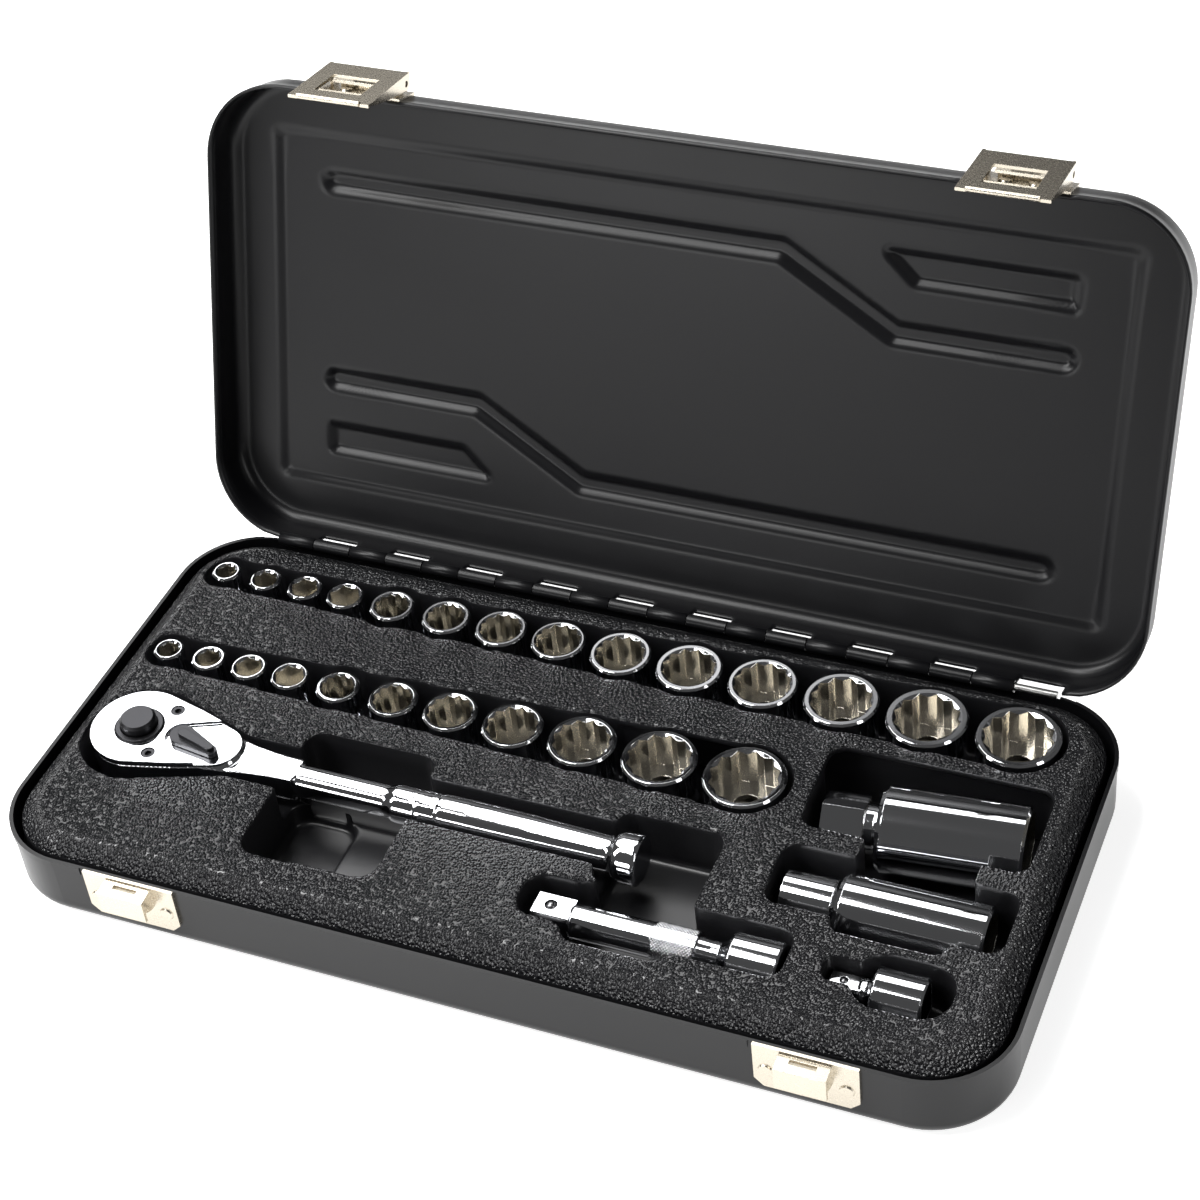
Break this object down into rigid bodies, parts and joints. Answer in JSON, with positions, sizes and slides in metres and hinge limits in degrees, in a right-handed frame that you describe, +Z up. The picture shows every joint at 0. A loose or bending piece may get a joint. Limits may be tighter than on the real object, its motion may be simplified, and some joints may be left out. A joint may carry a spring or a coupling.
{
  "type": "socket wrench set in case",
  "caption": "Hinged steel case with a moulded tool tray, metric and inch sockets, a reversible ratchet, an extension bar, spark plug sockets and a drive adapter.",
  "frame": {"origin": "centre of the base's flat underside, with the lid open", "axes": "+X along the case and the hinge, +Y from the latches to the hinge, +Z up"},
  "size_m": [0.3208, 0.2258, 0.1808],
  "materials": {
    "case_paint": "satin",
    "lid_paint": "satin",
    "latch_nickel": "satin nickel",
    "bare_steel": "satin",
    "tray_plastic": "grained",
    "socket_chrome": "polished",
    "ratchet_chrome": "polished",
    "black_oxide": "satin",
    "button_steel": "dark satin",
    "gear_steel": "ground",
    "grip_rubber": "matt"
  },
  "bodies": {
    "base": {"case_base": "case_paint", "hinge_pin": "bare_steel", "strike_plate_left": "latch_nickel", "strike_plate_right": "latch_nickel", "strike_rivets": "latch_nickel", "insert_tray": "tray_plastic"},
    "lid": {"case_lid": "lid_paint", "latch_plate_left": "latch_nickel", "latch_plate_right": "latch_nickel", "latch_rivets": "latch_nickel", "latch_spring_left": "bare_steel", "latch_spring_right": "bare_steel", "latch_pin_left": "latch_nickel", "latch_pin_right": "latch_nickel"},
    "latch_frame_left": {"latch_frame_left": "latch_nickel"},
    "latch_frame_right": {"latch_frame_right": "latch_nickel"},
    "metric_socket_06": {"metric_socket_06": "socket_chrome"},
    "metric_socket_07": {"metric_socket_07": "socket_chrome"},
    "metric_socket_08": {"metric_socket_08": "socket_chrome"},
    "metric_socket_09": {"metric_socket_09": "socket_chrome"},
    "metric_socket_10": {"metric_socket_10": "socket_chrome"},
    "metric_socket_11": {"metric_socket_11": "socket_chrome"},
    "metric_socket_12": {"metric_socket_12": "socket_chrome"},
    "metric_socket_13": {"metric_socket_13": "socket_chrome"},
    "metric_socket_14": {"metric_socket_14": "socket_chrome"},
    "metric_socket_15": {"metric_socket_15": "socket_chrome"},
    "metric_socket_16": {"metric_socket_16": "socket_chrome"},
    "metric_socket_17": {"metric_socket_17": "socket_chrome"},
    "metric_socket_18": {"metric_socket_18": "socket_chrome"},
    "metric_socket_19": {"metric_socket_19": "socket_chrome"},
    "inch_socket_1_4": {"inch_socket_1_4": "socket_chrome"},
    "inch_socket_9_32": {"inch_socket_9_32": "socket_chrome"},
    "inch_socket_5_16": {"inch_socket_5_16": "socket_chrome"},
    "inch_socket_11_32": {"inch_socket_11_32": "socket_chrome"},
    "inch_socket_3_8": {"inch_socket_3_8": "socket_chrome"},
    "inch_socket_7_16": {"inch_socket_7_16": "socket_chrome"},
    "inch_socket_1_2": {"inch_socket_1_2": "socket_chrome"},
    "inch_socket_9_16": {"inch_socket_9_16": "socket_chrome"},
    "inch_socket_5_8": {"inch_socket_5_8": "socket_chrome"},
    "inch_socket_11_16": {"inch_socket_11_16": "socket_chrome"},
    "inch_socket_3_4": {"inch_socket_3_4": "socket_chrome"},
    "ratchet": {"ratchet_body": "ratchet_chrome", "ratchet_cover": "ratchet_chrome", "cover_screws": "black_oxide", "button_ring": "black_oxide"},
    "ratchet_drive": {"drive_gear": "gear_steel", "drive_ball": "gear_steel", "button_spring": "bare_steel"},
    "button": {"release_button": "button_steel"},
    "reverser": {"reversing_lever": "black_oxide", "ratchet_pawl": "gear_steel"},
    "extension": {"extension_bar": "socket_chrome", "extension_ball": "gear_steel"},
    "plug_large": {"plug_socket_large": "socket_chrome", "plug_grip_large": "grip_rubber"},
    "plug_small": {"plug_socket_small": "socket_chrome", "plug_grip_small": "grip_rubber"},
    "adapter": {"drive_adapter": "socket_chrome", "adapter_ball": "gear_steel"}
  },
  "joints": [
    {"name": "lid_hinge", "type": "hinge", "parent": "base", "child": "lid", "pos_m": [0, 0.078, 0.024], "axis": [-1, 0, 0], "range_deg": [-108.5, 0]},
    {"name": "latch_left_swing", "type": "hinge", "parent": "lid", "child": "latch_frame_left", "pos_m": [-0.107, 0.13778, 0.17272], "axis": [-1, 0, 0], "range_deg": [0, 95]},
    {"name": "latch_right_swing", "type": "hinge", "parent": "lid", "child": "latch_frame_right", "pos_m": [0.107, 0.13778, 0.17272], "axis": [-1, 0, 0], "range_deg": [0, 95]},
    {"name": "metric_socket_06_lift", "type": "slide", "parent": "base", "child": "metric_socket_06", "axis": [0, 0, 1], "range_m": [0, 0.05]},
    {"name": "metric_socket_07_lift", "type": "slide", "parent": "base", "child": "metric_socket_07", "axis": [0, 0, 1], "range_m": [0, 0.05]},
    {"name": "metric_socket_08_lift", "type": "slide", "parent": "base", "child": "metric_socket_08", "axis": [0, 0, 1], "range_m": [0, 0.05]},
    {"name": "metric_socket_09_lift", "type": "slide", "parent": "base", "child": "metric_socket_09", "axis": [0, 0, 1], "range_m": [0, 0.05]},
    {"name": "metric_socket_10_lift", "type": "slide", "parent": "base", "child": "metric_socket_10", "axis": [0, 0, 1], "range_m": [0, 0.05]},
    {"name": "metric_socket_11_lift", "type": "slide", "parent": "base", "child": "metric_socket_11", "axis": [0, 0, 1], "range_m": [0, 0.05]},
    {"name": "metric_socket_12_lift", "type": "slide", "parent": "base", "child": "metric_socket_12", "axis": [0, 0, 1], "range_m": [0, 0.05]},
    {"name": "metric_socket_13_lift", "type": "slide", "parent": "base", "child": "metric_socket_13", "axis": [0, 0, 1], "range_m": [0, 0.05]},
    {"name": "metric_socket_14_lift", "type": "slide", "parent": "base", "child": "metric_socket_14", "axis": [0, 0, 1], "range_m": [0, 0.05]},
    {"name": "metric_socket_15_lift", "type": "slide", "parent": "base", "child": "metric_socket_15", "axis": [0, 0, 1], "range_m": [0, 0.05]},
    {"name": "metric_socket_16_lift", "type": "slide", "parent": "base", "child": "metric_socket_16", "axis": [0, 0, 1], "range_m": [0, 0.05]},
    {"name": "metric_socket_17_lift", "type": "slide", "parent": "base", "child": "metric_socket_17", "axis": [0, 0, 1], "range_m": [0, 0.05]},
    {"name": "metric_socket_18_lift", "type": "slide", "parent": "base", "child": "metric_socket_18", "axis": [0, 0, 1], "range_m": [0, 0.05]},
    {"name": "metric_socket_19_lift", "type": "slide", "parent": "base", "child": "metric_socket_19", "axis": [0, 0, 1], "range_m": [0, 0.05]},
    {"name": "inch_socket_1_4_lift", "type": "slide", "parent": "base", "child": "inch_socket_1_4", "axis": [0, 0, 1], "range_m": [0, 0.05]},
    {"name": "inch_socket_9_32_lift", "type": "slide", "parent": "base", "child": "inch_socket_9_32", "axis": [0, 0, 1], "range_m": [0, 0.05]},
    {"name": "inch_socket_5_16_lift", "type": "slide", "parent": "base", "child": "inch_socket_5_16", "axis": [0, 0, 1], "range_m": [0, 0.05]},
    {"name": "inch_socket_11_32_lift", "type": "slide", "parent": "base", "child": "inch_socket_11_32", "axis": [0, 0, 1], "range_m": [0, 0.05]},
    {"name": "inch_socket_3_8_lift", "type": "slide", "parent": "base", "child": "inch_socket_3_8", "axis": [0, 0, 1], "range_m": [0, 0.05]},
    {"name": "inch_socket_7_16_lift", "type": "slide", "parent": "base", "child": "inch_socket_7_16", "axis": [0, 0, 1], "range_m": [0, 0.05]},
    {"name": "inch_socket_1_2_lift", "type": "slide", "parent": "base", "child": "inch_socket_1_2", "axis": [0, 0, 1], "range_m": [0, 0.05]},
    {"name": "inch_socket_9_16_lift", "type": "slide", "parent": "base", "child": "inch_socket_9_16", "axis": [0, 0, 1], "range_m": [0, 0.05]},
    {"name": "inch_socket_5_8_lift", "type": "slide", "parent": "base", "child": "inch_socket_5_8", "axis": [0, 0, 1], "range_m": [0, 0.05]},
    {"name": "inch_socket_11_16_lift", "type": "slide", "parent": "base", "child": "inch_socket_11_16", "axis": [0, 0, 1], "range_m": [0, 0.05]},
    {"name": "inch_socket_3_4_lift", "type": "slide", "parent": "base", "child": "inch_socket_3_4", "axis": [0, 0, 1], "range_m": [0, 0.05]},
    {"name": "ratchet_lift", "type": "slide", "parent": "base", "child": "ratchet", "axis": [0, 0, 1], "range_m": [0, 0.06]},
    {"name": "drive_turn", "type": "hinge", "parent": "ratchet", "child": "ratchet_drive", "pos_m": [-0.1325, -0.0232, 0.02], "axis": [0, 0, 1], "continuous": true},
    {"name": "button_press", "type": "slide", "parent": "ratchet_drive", "child": "button", "axis": [0, 0, -1], "range_m": [0, 0.002], "stiffness_N_per_m": 500, "springref_m": -0.002, "deforming": ["button_spring"]},
    {"name": "lever_turn", "type": "hinge", "parent": "ratchet", "child": "reverser", "pos_m": [-0.1171, -0.0232, 0.026], "axis": [0, 0, 1], "range_deg": [0, 34]},
    {"name": "extension_lift", "type": "slide", "parent": "base", "child": "extension", "axis": [0, 0, 1], "range_m": [0, 0.05]},
    {"name": "plug_large_lift", "type": "slide", "parent": "base", "child": "plug_large", "axis": [0, 0, 1], "range_m": [0, 0.05]},
    {"name": "plug_small_lift", "type": "slide", "parent": "base", "child": "plug_small", "axis": [0, 0, 1], "range_m": [0, 0.05]},
    {"name": "adapter_lift", "type": "slide", "parent": "base", "child": "adapter", "axis": [0, 0, 1], "range_m": [0, 0.05]}
  ]
}
